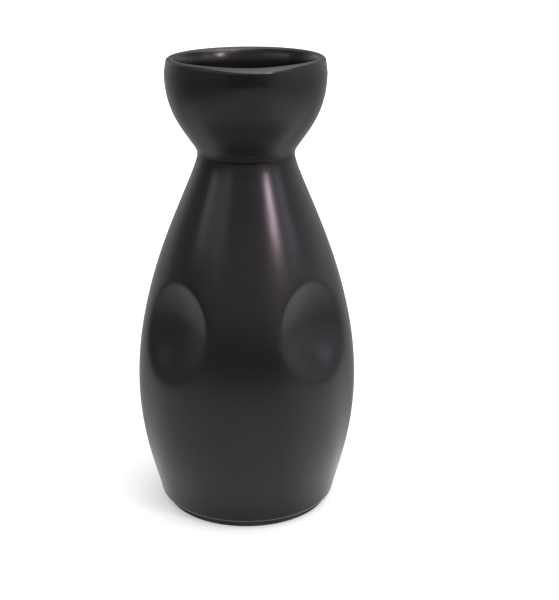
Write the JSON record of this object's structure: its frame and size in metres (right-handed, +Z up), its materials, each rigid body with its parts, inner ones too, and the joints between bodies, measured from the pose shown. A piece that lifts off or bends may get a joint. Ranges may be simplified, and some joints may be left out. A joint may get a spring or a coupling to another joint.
{
  "type": "sake bottle",
  "caption": "Stoneware wine pot with a bowl-shaped mouth, shallow pouring lip, narrow waist, pear-shaped body with pressed finger dents and a low foot ring.",
  "frame": {"origin": "centre of the circle that the pot stands on", "axes": "+Z up along the pot's axis, -Y towards the pouring lip, +X to the right when the lip faces the viewer"},
  "size_m": [0.0728, 0.0728, 0.1505],
  "materials": {
    "glaze": "satin black iron glaze",
    "bare_clay": "unglazed, ground flat",
    "luting_slip": "fired clay slip"
  },
  "bodies": {
    "root": {"bottle_body": "glaze", "mouth_bowl": "glaze", "waist_slip": "luting_slip", "foot_ring": "bare_clay", "foot_slip": "luting_slip"}
  },
  "joints": []
}
